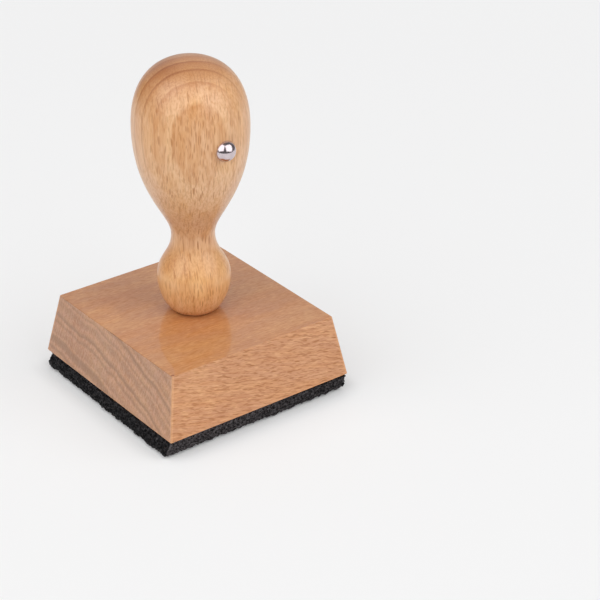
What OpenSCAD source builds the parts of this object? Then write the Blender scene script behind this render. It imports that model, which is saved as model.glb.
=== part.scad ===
// Wooden hand stamp: a turned beech handle screwed to a bevelled beech block,
// with a foam cushion and a rubber printing die stuck under the block.
// Millimetres. +Z is up, the front of the stamp faces -Y and is marked by the
// round-headed nail in the handle. The origin is on the surface that the stamp
// stands on, under the handle's axis.

/* [Block] */
// Width of the block at its base, across the front
block_w = 60; // [50:0.5:90]
// Depth of the block at its base, front to back
block_d = 62.5; // [50:0.5:90]
// Thickness of the block
block_h = 18; // [14:0.5:26]
// How far each side leans in between base and top
block_lean = 3.25; // [0.5:0.25:6]
// How far each edge of the block is eased back
block_ease = 0.5; // [0.3:0.1:1.2]

/* [Handle] */
// Height of the handle above the block
handle_h = 73.8; // [68:0.2:90]
// Radius of the foot that stands on the block
foot_r = 5; // [4.4:0.1:7]
// Radius of the ball above the foot
ball_r = 10.2; // [8.5:0.1:13]
// Height of the ball's widest place above the block
ball_z = 10.2; // [8:0.1:13]
// Radius of the neck
neck_r = 6; // [5:0.1:8]
// Height of the neck's narrowest place above the block
neck_z = 23; // [20:0.5:27]
// Radius of the grip at its widest
grip_r = 15.9; // [13:0.1:20]
// Height of the grip's widest place above the block
grip_z = 55; // [46:0.5:60]

/* [Front nail] */
// Radius of the nail's round head
nail_head_r = 2.8; // [2:0.1:4]
// Height of the round head
nail_head_h = 2.6; // [1.2:0.1:4]
// Radius of the nail's shank
nail_shank_r = 0.9; // [0.6:0.05:1.2]
// Length of the nail under its head
nail_len = 12; // [8:0.5:14]
// Height of the nail above the block
nail_z = 53; // [46:0.5:62]

/* [Handle screw] */
// Length of the countersunk wood screw
screw_len = 40; // [32:0.5:44]
// Outer radius of the screw's thread
thread_r = 2; // [1.75:0.05:2.5]
// Radius of the screw's core between the thread's ridges
core_r = 1.3; // [1.1:0.05:1.5]
// Distance from one ridge of the thread to the next
thread_pitch = 1.8; // [1.4:0.1:2.4]
// Length of the plain shank under the head
shank_len = 14; // [10:0.5:16]
// Radius of the screw's head
screw_head_r = 3.8; // [3.2:0.1:4.6]
// How far the head sits below the underside of the block
head_sink = 0.6; // [0.2:0.1:1.5]
// Width of each slot in the screw's cross recess
recess_w = 0.9; // [0.6:0.1:1.2]
// Length of each slot in the screw's cross recess
recess_len = 4.2; // [3:0.1:5]
// Depth of the cross recess
recess_deep = 1.6; // [1:0.1:2]

/* [Foam and rubber] */
// How much narrower than the block the foam and the die are cut
sheet_less_w = 0.2; // [0:0.1:4]
// How much shorter than the block the foam and the die are cut, front to back
sheet_less_d = 1.8; // [0:0.1:4]
// How far the foam is stuck on off the block's middle, to the left
foam_off_left = 0.3; // [0:0.1:1]
// How far the foam is stuck on off the block's middle, to the front
foam_off_front = 0.4; // [0:0.1:1]
// How far the die is stuck on off the block's middle, to the left
die_off_left = 0.4; // [0:0.1:1]
// How far the die is stuck on off the block's middle, to the back
die_off_back = 0.6; // [0:0.1:1]
// Thickness of the foam cushion
foam_t = 3.2; // [2:0.1:5]
// Thickness of each double-sided adhesive film
film_t = 0.15; // [0.1:0.05:0.4]
// Thickness of the die's plate under the raised pattern
plate_t = 1.5; // [1:0.1:2.5]

/* [Raised pattern] */
// Height of the raised pattern above the plate
relief_h = 0.8; // [0.5:0.1:1.5]
// Width of the pattern's raised lines
line_w = 1.2; // [0.6:0.1:1.6]
// Width of bare plate between the die's edge and the border line
border_in = 2.5; // [1.5:0.1:4]
// Outer radius of the ring
ring_r = 19.5; // [17:0.5:20.5]
// Radius of the star's points
star_r = 15; // [12:0.5:15.5]
// Radius of the star's notches
notch_r = 6.5; // [6:0.5:8]
// Number of points on the star
star_points = 8; // [5:1:12]
// Radius of each round dot
dot_r = 1; // [0.6:0.1:1.4]

/* [Hidden] */
$fn = 96;

// Clearance of the screw in the block, and the bite of the wood on screw and nail
screw_clear = 0.15;
pilot_bite = 0.1;
nail_bite = 0.05;
// Room past the end of each fastener at the bottom of its hole
hole_room = 1;
// Overrun of each cutting solid past the face that it cuts
overrun = 1;

// Levels of the layers, from the surface that the stamp stands on
plate_z = relief_h;
die_film_z = plate_z + plate_t;
foam_z = die_film_z + film_t;
block_film_z = foam_z + foam_t;
block_z = block_film_z + film_t;
foot_z = block_z + block_h;

// Size and places of the foam, the die and their films
sheet_w = block_w - sheet_less_w;
sheet_d = block_d - sheet_less_d;
foam_at = [-foam_off_left, -foam_off_front];
die_at = [-die_off_left, die_off_back];

// Place of the screw, height of its point, and size of its seat in the block
screw_z = block_z + head_sink;
shank_r = (core_r + thread_r) / 2;
clear_r = thread_r + screw_clear;
head_h = screw_head_r - shank_r;
pilot_r = core_r + (thread_r - core_r) * pilot_bite;
tip_h = 3;
pilot_deep = screw_z + screw_len - foot_z + hole_room;
// Facets of the screw's thread round its axis
turn_steps = 12;

// Steps of each curve of the handle's outline
curve_steps = 14;
// Slope of the foot's outline from the block, in degrees from the vertical
foot_angle = 70;
// How far each curve's tangents reach along their stretch: the fuller, the rounder
foot_pull = 3;
ball_pull = 0.56;
neck_pull = 0.46;
ball_top_pull = 0.42;
flank_low_pull = 0.2;
flank_high_pull = 0.6;
crown_side_pull = 0.68;
crown_top_pull = 0.6;

// A point of the cubic curve with corners a, b, c, d at t from 0 to 1
function bezier(a, b, c, d, t) =
  pow(1 - t, 3) * a + 3 * pow(1 - t, 2) * t * b
  + 3 * (1 - t) * t * t * c + pow(t, 3) * d;

// The points of that curve after its first corner
function curve(a, b, c, d) =
  [for (i = [1:curve_steps]) bezier(a, b, c, d, i / curve_steps)];

// A curve between two places where the outline runs straight up
function swell(r0, z0, r1, z1, low_pull, high_pull) = curve(
  [r0, z0],
  [r0, z0 + (z1 - z0) * low_pull],
  [r1, z1 - (z1 - z0) * high_pull],
  [r1, z1]
);

// The handle's outline as radius and height above the block, foot to crown
handle_outline = concat(
  [[foot_r, 0]],
  curve(
    [foot_r, 0],
    [foot_r + foot_pull * sin(foot_angle), foot_pull * cos(foot_angle)],
    [ball_r, ball_z * (1 - ball_pull)],
    [ball_r, ball_z]
  ),
  swell(ball_r, ball_z, neck_r, neck_z, ball_top_pull, neck_pull),
  swell(neck_r, neck_z, grip_r, grip_z, flank_low_pull, flank_high_pull),
  curve(
    [grip_r, grip_z],
    [grip_r, grip_z + (handle_h - grip_z) * crown_side_pull],
    [grip_r * crown_top_pull, handle_h],
    [0, handle_h]
  )
);

// Radius of the handle at a height above the block
function handle_r_at(z) = lookup(z, [for (p = handle_outline) [p[1], p[0]]]);

// A long prism whose cross-section leans in to the top and has eased edges
module leaning_prism(width, lean, length) {
  side_ease = block_ease * lean / block_h;
  half = width / 2;
  rotate([90, 0, 0])
    linear_extrude(length, center = true)
      polygon([
        [half - block_ease, 0],
        [half - side_ease, block_ease],
        [half - lean + side_ease, block_h - block_ease],
        [half - lean - block_ease, block_h],
        [-half + lean + block_ease, block_h],
        [-half + lean - side_ease, block_h - block_ease],
        [-half + side_ease, block_ease],
        [-half + block_ease, 0]
      ]);
}

// The block's body without its holes: four leaning sides and eased corners
module block_body() {
  reach = 2 * (block_w + block_d);
  corner_width = (block_w + block_d) / sqrt(2) - 2 * block_ease;
  intersection() {
    leaning_prism(block_w, block_lean, reach);
    rotate(90) leaning_prism(block_d, block_lean, reach);
    rotate(45) leaning_prism(corner_width, block_lean * sqrt(2), reach);
    rotate(-45) leaning_prism(corner_width, block_lean * sqrt(2), reach);
  }
}

// Bevelled block with a countersunk hole for the screw
module mounting_block() {
  color("peru")
    difference() {
      translate([0, 0, block_z]) block_body();
      translate([0, 0, block_z - overrun])
        cylinder(h = block_h + 2 * overrun, r = clear_r);
      translate([0, 0, screw_z])
        cylinder(h = head_h, r1 = screw_head_r + screw_clear, r2 = clear_r);
      translate([0, 0, block_z - overrun])
        cylinder(h = head_sink + overrun, r = screw_head_r + screw_clear);
    }
}

// Turned handle with a pilot hole from below and a hole for the nail
module handle() {
  color("burlywood")
    difference() {
      translate([0, 0, foot_z])
        rotate_extrude()
          polygon(concat([[0, 0]], handle_outline));
      translate([0, 0, foot_z - overrun])
        cylinder(h = pilot_deep + overrun, r = pilot_r);
      nail_frame()
        translate([0, 0, -nail_len - hole_room])
          cylinder(h = nail_len + hole_room + overrun, r = nail_shank_r - nail_bite);
    }
}

// Stands its children on the handle's front, with their +Z pointing out of it
module nail_frame() {
  translate([0, -handle_r_at(nail_z), foot_z + nail_z])
    rotate([90, 0, 0])
      children();
}

// Round-headed nail that marks the front of the stamp
module front_nail() {
  sphere_r = (pow(nail_head_r, 2) + pow(nail_head_h, 2)) / (2 * nail_head_h);
  point_h = 2 * nail_shank_r;
  color("silver")
    nail_frame() {
      rotate_extrude()
        intersection() {
          translate([0, nail_head_h - sphere_r]) circle(r = sphere_r);
          square([nail_head_r, nail_head_h]);
        }
      translate([0, 0, point_h - nail_len])
        cylinder(h = nail_len - point_h, r = nail_shank_r);
      translate([0, 0, -nail_len])
        cylinder(h = point_h, r1 = 0, r2 = nail_shank_r);
    }
}

// Countersunk wood screw that holds the handle on the block
module handle_screw() {
  thread_len = screw_len - shank_len - tip_h;
  color("darkgray")
    translate([0, 0, screw_z]) {
      difference() {
        union() {
          cylinder(h = head_h, r1 = screw_head_r, r2 = shank_r);
          cylinder(h = shank_len, r = shank_r);
        }
        for (turn = [0, 90])
          rotate(turn)
            translate([-recess_len / 2, -recess_w / 2, -overrun])
              cube([recess_len, recess_w, recess_deep + overrun]);
      }
      translate([0, 0, shank_len]) screw_thread(thread_len);
      translate([0, 0, shank_len + thread_len])
        cylinder(h = tip_h, r1 = core_r, r2 = 0);
    }
}

// A thread made by winding a round section round the screw's axis
module screw_thread(length) {
  turns = length / thread_pitch;
  slices = ceil(turns * turn_steps);
  linear_extrude(length, twist = -360 * turns, slices = slices, $fn = turn_steps)
    translate([(thread_r - core_r) / 2, 0])
      circle(r = (thread_r + core_r) / 2);
}

// A sheet of the foam's and the die's size
module sheet(at, thickness) {
  translate([at[0], at[1], 0])
    linear_extrude(thickness)
      square([sheet_w, sheet_d], center = true);
}

// Double-sided film between block and foam
module block_film() {
  color("dimgray")
    translate([0, 0, block_film_z]) sheet(foam_at, film_t);
}

// Soft foam that lets the die give when it is pressed
module foam_cushion() {
  color("darkslategray")
    translate([0, 0, foam_z]) sheet(foam_at, foam_t);
}

// Double-sided film between foam and die
module die_film() {
  color("dimgray")
    translate([0, 0, die_film_z]) sheet(die_at, film_t);
}

// Rubber die: a plate with the raised pattern that prints
module rubber_die() {
  color("black") {
    translate([0, 0, plate_z]) sheet(die_at, plate_t);
    translate([die_at[0], die_at[1], 0])
      linear_extrude(relief_h)
        pattern();
  }
}

// The pattern: a border line, a ring of dots and a star with an eye
module pattern() {
  border_w = sheet_w - 2 * border_in;
  border_d = sheet_d - 2 * border_in;
  difference() {
    square([border_w, border_d], center = true);
    square([border_w - 2 * line_w, border_d - 2 * line_w], center = true);
  }
  line_ring(ring_r);
  star();
  dot_step = 360 / (2 * star_points);
  dot_way = (star_r + ring_r - line_w) / 2;
  for (i = [0:star_points - 1])
    rotate((2 * i + 1) * dot_step)
      translate([dot_way, 0])
        circle(r = dot_r);
  ring_corner = ring_r / sqrt(2);
  for (x = [-1, 1], y = [-1, 1])
    translate([
      x * (ring_corner + border_w / 2 - line_w) / 2,
      y * (ring_corner + border_d / 2 - line_w) / 2
    ])
      circle(r = 2 * dot_r);
}

// A ring one line wide
module line_ring(outer_r) {
  difference() {
    circle(r = outer_r);
    circle(r = outer_r - line_w);
  }
}

// A star with alternate points and notches, open round a dot at its middle
module star() {
  eye_r = notch_r - 2 * line_w;
  difference() {
    polygon([
      for (i = [0:2 * star_points - 1])
        let (r = i % 2 == 0 ? star_r : notch_r, a = i * 180 / star_points)
          r * [cos(a), sin(a)]
    ]);
    circle(r = eye_r);
  }
  circle(r = eye_r - line_w);
}

rubber_die();
die_film();
foam_cushion();
block_film();
mounting_block();
handle_screw();
handle();
front_nail();
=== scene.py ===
import math

import bmesh
import bpy
from mathutils import Matrix, Vector, geometry, noise


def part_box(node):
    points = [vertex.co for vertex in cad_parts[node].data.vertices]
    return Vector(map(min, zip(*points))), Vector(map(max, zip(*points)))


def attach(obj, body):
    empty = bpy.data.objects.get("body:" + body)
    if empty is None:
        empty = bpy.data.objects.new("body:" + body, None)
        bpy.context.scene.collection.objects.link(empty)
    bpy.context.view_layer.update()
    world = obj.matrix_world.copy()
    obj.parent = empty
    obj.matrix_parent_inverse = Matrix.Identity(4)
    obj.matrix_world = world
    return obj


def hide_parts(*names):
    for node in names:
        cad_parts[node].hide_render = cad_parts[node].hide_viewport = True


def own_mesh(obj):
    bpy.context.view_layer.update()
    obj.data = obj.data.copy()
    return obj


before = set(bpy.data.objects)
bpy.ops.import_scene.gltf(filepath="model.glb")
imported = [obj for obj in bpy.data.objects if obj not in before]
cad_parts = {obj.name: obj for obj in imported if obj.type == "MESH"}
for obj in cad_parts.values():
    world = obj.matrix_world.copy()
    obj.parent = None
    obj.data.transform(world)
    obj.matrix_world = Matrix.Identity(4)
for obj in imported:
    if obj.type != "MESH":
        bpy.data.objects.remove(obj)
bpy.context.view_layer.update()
mm = 0.001
scene = bpy.context.scene
print("frame loaded:", sorted(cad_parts))


def srgb(red, green, blue):
    # a colour as read off a screen, 0 to 255, as the shader wants it
    def linear(value):
        value /= 255
        return value / 12.92 if value <= 0.04045 else ((value + 0.055) / 1.055) ** 2.4
    return (linear(red), linear(green), linear(blue), 1.0)


def setInputs(tree, node, inputs):
    # numbers and colours are set, and sockets are linked
    for key, value in inputs.items():
        if isinstance(value, bpy.types.NodeSocket):
            tree.links.new(value, node.inputs[key])
        else:
            node.inputs[key].default_value = value


def put(tree, kind, inputs=None, **settings):
    node = tree.nodes.new("ShaderNode" + kind)
    for key, value in settings.items():
        setattr(node, key, value)
    setInputs(tree, node, inputs or {})
    return node


def calc(tree, operation, *values):
    return put(tree, "Math", dict(enumerate(values)), operation=operation).outputs[0]


def minus(tree, first, second):
    return calc(tree, "SUBTRACT", first, second)


def times(tree, value, *others):
    for other in others:
        value = calc(tree, "MULTIPLY", value, other)
    return value


def vectorCalc(tree, operation, *values, output="Vector"):
    return put(tree, "VectorMath", dict(enumerate(values)), operation=operation).outputs[output]


def lengthOf(tree, vector):
    return vectorCalc(tree, "LENGTH", vector, output="Value")


def ramp(tree, value, fromMin, fromMax, toMin=0.0, toMax=1.0, smooth=True):
    inputs = {"Value": value, "From Min": fromMin, "From Max": fromMax, "To Min": toMin, "To Max": toMax}
    kind = "SMOOTHSTEP" if smooth else "LINEAR"
    return put(tree, "MapRange", inputs, interpolation_type=kind).outputs["Result"]


def blendValue(tree, share, first, second):
    return put(tree, "Mix", {0: share, 2: first, 3: second}, data_type="FLOAT").outputs[0]


def blendColor(tree, share, first, second, way="MIX"):
    inputs = {0: share, 6: first, 7: second}
    return put(tree, "Mix", inputs, data_type="RGBA", blend_type=way).outputs[2]


def layColors(tree, color, layers):
    # each layer is its share, its colour and, where it isn't a plain mix, its way
    for share, tint, *way in layers:
        color = blendColor(tree, share, color, tint, *way)
    return color


def noiseValue(tree, vector, scale, detail=2.0, rough=0.5, output="Fac"):
    inputs = {"Vector": vector, "Scale": scale, "Detail": detail, "Roughness": rough}
    return put(tree, "TexNoise", inputs).outputs[output]


def stretchedNoise(tree, vector, stretch, detail=2.0, rough=0.5, output="Fac"):
    return noiseValue(tree, vectorCalc(tree, "MULTIPLY", vector, stretch), 1.0, detail, rough, output)


def split(tree, vector):
    return put(tree, "SeparateXYZ", {0: vector}).outputs


def joined(tree, x, y, z):
    return put(tree, "CombineXYZ", {"X": x, "Y": y, "Z": z}).outputs[0]


def inMillimetres(tree, coords, turn=Matrix.Identity(3), origin=(0, 0, 0)):
    inputs = {"Vector": coords["Object"], "Location": origin, "Rotation": turn.to_euler(),
              "Scale": (1 / mm, 1 / mm, 1 / mm)}
    return put(tree, "Mapping", inputs).outputs[0]


def bumpNormal(tree, strength, distance, height):
    inputs = {"Strength": strength, "Distance": distance, "Height": height}
    return put(tree, "Bump", inputs).outputs["Normal"]


def newGroup(name, inputs, outputs):
    # an input's starting value tells its kind, and every output is a plain value
    tree = bpy.data.node_groups.new(name, "ShaderNodeTree")
    for label, value in inputs.items():
        kind = "NodeSocketFloat" if isinstance(value, float) else "NodeSocketVector"
        tree.interface.new_socket(label, in_out="INPUT", socket_type=kind).default_value = value
    for label in outputs:
        tree.interface.new_socket(label, in_out="OUTPUT", socket_type="NodeSocketFloat")
    return tree, tree.nodes.new("NodeGroupInput").outputs, tree.nodes.new("NodeGroupOutput")


def useGroup(tree, group, inputs):
    return put(tree, "Group", inputs, node_tree=group).outputs


def newMaterial(name):
    material = bpy.data.materials.new(name)
    material.use_nodes = True
    tree = material.node_tree
    return material, tree, next(n for n in tree.nodes if n.type == "BSDF_PRINCIPLED")


def faceOutwards(bm):
    bmesh.ops.recalc_face_normals(bm, faces=bm.faces)


def meshOf(bm, name):
    mesh = bpy.data.meshes.new(name)
    bm.to_mesh(mesh)
    bm.free()
    return mesh


def addObject(name, data):
    added = bpy.data.objects.new(name, data)
    scene.collection.objects.link(added)
    return added


def makePiece(name, bm, material, body, nodes, sharpAngle):
    mesh = meshOf(bm, name)
    mesh.shade_smooth()
    mesh.set_sharp_from_angle(angle=math.radians(sharpAngle))
    mesh.materials.append(material)
    piece = addObject(name, mesh)
    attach(piece, body)
    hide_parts(*nodes)
    print("made", name, "with", len(mesh.polygons), "faces")
    return piece


def wayTo(azimuth, elevation):
    # a direction by its degrees from the front towards the right, and upwards
    azimuth, elevation = math.radians(azimuth), math.radians(elevation)
    level = math.cos(elevation)
    return Vector((math.sin(azimuth) * level, -math.cos(azimuth) * level, math.sin(elevation)))


cameraView = {
    "azimuth": -37.865,
    "elevation": 28.763, "roll": 0.375, "distance": 558.0 * mm,
    "right": 29.44 * mm,  # how far the picture's middle lies beside the stamp
    "up": 17.405 * mm,
    "targetHeight": 5.8 * mm,
    "lens": 118.248, "sensor": 36, "clipStart": 10 * mm,
}


def addCamera(view):
    azimuth = math.radians(view["azimuth"])
    back = wayTo(view["azimuth"], view["elevation"])
    level = Vector((math.cos(azimuth), math.sin(azimuth), 0))
    right = Matrix.Rotation(math.radians(view["roll"]), 3, back) @ level
    up = back.cross(right)
    camera = addObject("camera", bpy.data.cameras.new("camera"))
    camera.data.lens = view["lens"]
    camera.data.sensor_width = view["sensor"]
    camera.data.clip_start = view["clipStart"]
    place = back * view["distance"] + right * view["right"] + up * view["up"]
    place.z += view["targetHeight"]
    camera.matrix_world = Matrix.Translation(place) @ Matrix((right, up, back)).transposed().to_4x4()
    scene.camera = camera


floorLook = {
    "radius": 0.62, "segments": 96,
    "color": (0.928, 0.928, 0.93, 1.0), "roughness": 0.95,
    "plainColor": (0.888, 0.888, 0.890664, 1),  # how the paper looks away from the stamp
    "fadeFrom": 0.16, "fadeTo": 0.45,
    "shadowShare": 0.46,  # how much of the true shade shows round the stamp
    "contactShare": 0.9,  # and close to its edge
    "contactFrom": 1.0 * mm, "contactTo": 6.8 * mm,
    "footprint": (30.3 * mm, 30.6 * mm, 0),
}


def addFloor(look):
    bm = bmesh.new()
    bmesh.ops.create_circle(bm, cap_ends=True, segments=look["segments"], radius=look["radius"])
    mesh = meshOf(bm, "paper_floor")
    floor = addObject("paper_floor", mesh)
    material, tree, shader = newMaterial("paperFloor")
    setInputs(tree, shader, {
        "Base Color": look["color"], "Roughness": look["roughness"], "Specular IOR Level": 0.0})
    point = put(tree, "TexCoord").outputs["Object"]
    away = lengthOf(tree, point)
    beside = vectorCalc(tree, "SUBTRACT", vectorCalc(tree, "ABSOLUTE", point), look["footprint"])
    beside = lengthOf(tree, vectorCalc(tree, "MAXIMUM", beside, (0, 0, 0)))
    share = ramp(tree, beside, look["contactFrom"], look["contactTo"],
                 look["contactShare"], look["shadowShare"])
    share = times(tree, share, ramp(tree, away, look["fadeFrom"], look["fadeTo"], 1.0, 0.0))
    toCamera = put(tree, "LightPath").outputs["Is Camera Ray"]
    plainShare = times(tree, minus(tree, 1.0, share), toCamera)
    plain = put(tree, "Emission", {"Color": look["plainColor"]}).outputs[0]
    mixed = put(tree, "MixShader", {0: plainShare, 1: shader.outputs[0], 2: plain}).outputs[0]
    output = next(n for n in tree.nodes if n.type == "OUTPUT_MATERIAL")
    tree.links.new(mixed, output.inputs["Surface"])
    mesh.materials.append(material)


lampTarget = Vector((0, 0, 50 * mm))
lamps = {
    # sizes and distances in metres
    "left_softbox": {"azimuth": -87, "elevation": 43, "distance": 2.2, "size": (2.5, 2.7), "roll": 24,
                     "power": 36.5, "mirrored": True},
    "right_softbox": {"azimuth": 24, "elevation": 38, "distance": 2.2, "size": (2.9, 2.7), "roll": -24,
                      "power": 39, "mirrored": True},
    "top_fill": {"azimuth": 150, "elevation": 70, "distance": 2.4, "size": (1.6, 1.6), "roll": 0,
                 "power": 5, "mirrored": False},
}


def addLamp(name, look):
    way = wayTo(look["azimuth"], look["elevation"])
    light = bpy.data.lights.new(name, "AREA")
    light.shape = "RECTANGLE"
    light.size, light.size_y = look["size"]
    light.energy = look["power"]
    lamp = addObject(name, light)
    lamp.location = way * look["distance"] + lampTarget
    turn = Matrix.Rotation(math.radians(look["roll"]), 3, way)
    lamp.rotation_euler = (turn @ way.to_track_quat("Z", "Y").to_matrix()).to_euler()
    lamp.visible_glossy = look["mirrored"]


worldLook = {
    "fill": 0.25,  # strength of the light from all round
    "background": 0.888,
    "backGloss": 0.6,  # what lacquer and metal mirror of the pale sweep behind the stamp
    "frontGloss": 0.16,  # and of the dark room round and above it
    "sweepAzimuth": cameraView["azimuth"], "sweepTilt": 0.25,
    "sweepSides": (0.72, 0.92), "sweepTop": (0.62, 0.8),
}


def addWorld(look):
    world = bpy.data.worlds.new("studio")
    scene.world = world
    world.use_nodes = True
    tree = world.node_tree
    tree.nodes.clear()
    path = put(tree, "LightPath").outputs
    direction = put(tree, "TexCoord").outputs["Generated"]
    azimuth = math.radians(look["sweepAzimuth"])
    sweepWay = (-math.sin(azimuth), math.cos(azimuth), look["sweepTilt"])
    behind = vectorCalc(tree, "DOT_PRODUCT", direction, sweepWay, output="Value")
    sweep = times(tree, ramp(tree, behind, *look["sweepSides"]),
                  ramp(tree, split(tree, direction)["Z"], *look["sweepTop"], 1.0, 0.0))
    gloss = blendValue(tree, sweep, look["frontGloss"], look["backGloss"])
    mirrored = calc(tree, "MAXIMUM", path["Is Glossy Ray"], path["Is Transmission Ray"])
    strength = blendValue(tree, mirrored, look["fill"], gloss)
    strength = blendValue(tree, path["Is Camera Ray"], strength, look["background"])
    background = put(tree, "Background", {"Color": (1, 1, 1, 1), "Strength": strength}).outputs[0]
    put(tree, "OutputWorld", {"Surface": background})


scene.view_settings.view_transform = "Standard"
addCamera(cameraView)
addFloor(floorLook)
for lampName, lampLook in lamps.items():
    addLamp(lampName, lampLook)
addWorld(worldLook)
print("camera, floor and lights are in place")


# Wood coordinates are in millimetres: X runs along the rings, Y across them, Z along the fibres.

def growthRings():
    tree, given, result = newGroup("growthRings", {
        "Vector": (0, 0, 0), "Spacing": 4.0, "Shift": 0.0, "Curve": 0.0, "Curve Middle": 0.0,
        "Bow": 0.0, "Bow Middle": 0.0, "Warp": 0.6, "Uneven": 0.0, "Line": 0.08, "Fade": 1.6,
        "Soft": 0.1, "Tone Start": -1.9, "Strength Start": 0.43,
    }, ("Shade", "Line", "Tone"))
    slowStretch, fineStretch, fineShare = (0.10, 0.05, 0.022), (0.55, 0.2, 0.10), 0.22
    yearScale, toneStep = 0.3, 2.0
    strongFrom, weakFade, weakShade = 0.8, 2.2, 0.45  # weak years fade sooner and are paler
    lineRise, palestLine = 0.4, 0.3
    parts = split(tree, given["Vector"])
    wobble = minus(tree, stretchedNoise(tree, given["Vector"], slowStretch, rough=0.45), 0.5)
    jitter = minus(tree, stretchedNoise(tree, given["Vector"], fineStretch), 0.5)
    wobble = calc(tree, "ADD", wobble, times(tree, jitter, fineShare))
    beside = minus(tree, parts["X"], given["Curve Middle"])
    above = minus(tree, parts["Z"], given["Bow Middle"])
    bend = times(tree, beside, beside, given["Curve"])
    bend = calc(tree, "MULTIPLY_ADD", times(tree, above, above), given["Bow"], bend)
    across = calc(tree, "MULTIPLY_ADD", wobble, given["Warp"], calc(tree, "ADD", parts["Y"], bend))
    years = put(tree, "TexNoise", {"W": across, "Scale": yearScale, "Detail": 0.0},
                noise_dimensions="1D").outputs["Fac"]
    across = calc(tree, "MULTIPLY_ADD", minus(tree, years, 0.5), given["Uneven"], across)
    count = calc(tree, "DIVIDE", minus(tree, across, given["Shift"]), given["Spacing"])
    share, year = calc(tree, "FRACT", count), calc(tree, "FLOOR", count)
    waves = [calc(tree, "SINE", calc(tree, "MULTIPLY_ADD", year, toneStep, given[start]))
             for start in ("Tone Start", "Strength Start")]
    tone, strength = [calc(tree, "MULTIPLY_ADD", wave, 0.5, 0.5) for wave in waves]
    fade = times(tree, given["Fade"], ramp(tree, strength, 0.0, strongFrom, weakFade, 1.0, smooth=False))
    shade = times(tree, calc(tree, "POWER", minus(tree, 1.0, share), fade),
                  ramp(tree, share, 0.0, given["Soft"]),
                  ramp(tree, strength, 0.0, strongFrom, weakShade, 1.0, smooth=False))
    rise = times(tree, given["Line"], lineRise)
    line = times(tree, ramp(tree, share, rise, given["Line"], 1.0, 0.0), ramp(tree, share, 0.0, rise),
                 calc(tree, "MULTIPLY_ADD", tone, 1.0 - palestLine, palestLine))
    setInputs(tree, result, {"Shade": shade, "Line": line, "Tone": tone})
    return tree


def rayFlecks():
    # lens-shaped ray ends: each lies in a cell of its own, and some cells stay empty
    tree, given, result = newGroup("rayFlecks", {
        "Vector": (0, 0, 0), "Cell": (1.1, 8.0, 3.2), "Size": (0.2, 4.0, 0.95), "Share": 0.8, "Soft": 0.5,
    }, ("Fleck",))
    driftStretch, driftReach = (0.12, 0.1, 0.07), (2.2, 0.0, 0.0)
    crowdStretch, crowdRange, crowdShare = (0.13, 0.1, 0.05), (0.3, 0.62), (0.55, 1.1)
    softLimit, palestFleck = 0.05, 0.45
    drift = stretchedNoise(tree, given["Vector"], driftStretch, output="Color")
    drift = vectorCalc(tree, "MULTIPLY", vectorCalc(tree, "SUBTRACT", drift, (0.5, 0.5, 0.5)), driftReach)
    cells = vectorCalc(tree, "DIVIDE", vectorCalc(tree, "ADD", given["Vector"], drift), given["Cell"])
    voronoi = put(tree, "TexVoronoi", {"Vector": cells, "Scale": 1.0, "Randomness": 1.0}).outputs
    off = vectorCalc(tree, "SUBTRACT", cells, voronoi["Position"])
    off = vectorCalc(tree, "MULTIPLY", off, given["Cell"])
    far = lengthOf(tree, vectorCalc(tree, "DIVIDE", off, given["Size"]))
    lens = ramp(tree, far, minus(tree, 1.0, given["Soft"]), 1.0, 1.0, 0.0)
    chance = put(tree, "SeparateColor", {0: voronoi["Color"]}).outputs
    crowd = stretchedNoise(tree, given["Vector"], crowdStretch, 1.0)
    limit = times(tree, given["Share"], ramp(tree, crowd, *crowdRange, *crowdShare, smooth=False))
    there = ramp(tree, chance["Red"], limit, calc(tree, "ADD", limit, softLimit), 1.0, 0.0)
    weight = blendValue(tree, chance["Green"], palestFleck, 1.0)
    setInputs(tree, result, {"Fleck": times(tree, lens, there, weight)})
    return tree


def fibreStreaks():
    tree, given, result = newGroup("fibreStreaks", {
        "Vector": (0, 0, 0), "Width": 0.35, "Length": 9.0}, ("Streak", "Broad"))
    broadStretch = (0.14, 0.14, 0.35)
    size = joined(tree, given["Width"], given["Width"], given["Length"])
    narrow = vectorCalc(tree, "DIVIDE", given["Vector"], size)
    setInputs(tree, result, {
        "Streak": noiseValue(tree, narrow, 1.0, 3.0, 0.6),
        "Broad": stretchedNoise(tree, narrow, broadStretch)})
    return tree


def shortStrokes():
    # dark and light strokes that wander a little, as a planed face shows them
    tree, given, result = newGroup("shortStrokes", {
        "Vector": (0, 0, 0), "Width": 0.5, "Length": 3.0, "Wander": 1.2}, ("Dark", "Light"))
    swayStretch, grainScale, depthStretch = (0.16, 0.05, 0.22), 0.55, 0.06
    darkRange, lightRange = (0.54, 0.64), (0.46, 0.35)
    sway = minus(tree, stretchedNoise(tree, given["Vector"], swayStretch), 0.5)
    parts = split(tree, given["Vector"])
    wandering = calc(tree, "ADD", parts["X"], times(tree, sway, given["Wander"]))
    point = joined(tree, calc(tree, "DIVIDE", wandering, given["Width"]),
                   times(tree, parts["Y"], depthStretch),
                   calc(tree, "DIVIDE", parts["Z"], given["Length"]))
    grain = noiseValue(tree, point, grainScale, 2.5, 0.55)
    setInputs(tree, result, {"Dark": ramp(tree, grain, *darkRange), "Light": ramp(tree, grain, *lightRange)})
    return tree


ringsGroup, strokesGroup = growthRings(), shortStrokes()
flecksGroup, streaksGroup = rayFlecks(), fibreStreaks()


def woodFrame(across, along):
    # rows of the turn into wood coordinates: along the rings, across the rings, along the fibres
    across, along = Vector(across).normalized(), Vector(along)
    along = (along - across * along.dot(across)).normalized()
    return Matrix((across.cross(along), across, along))


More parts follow.
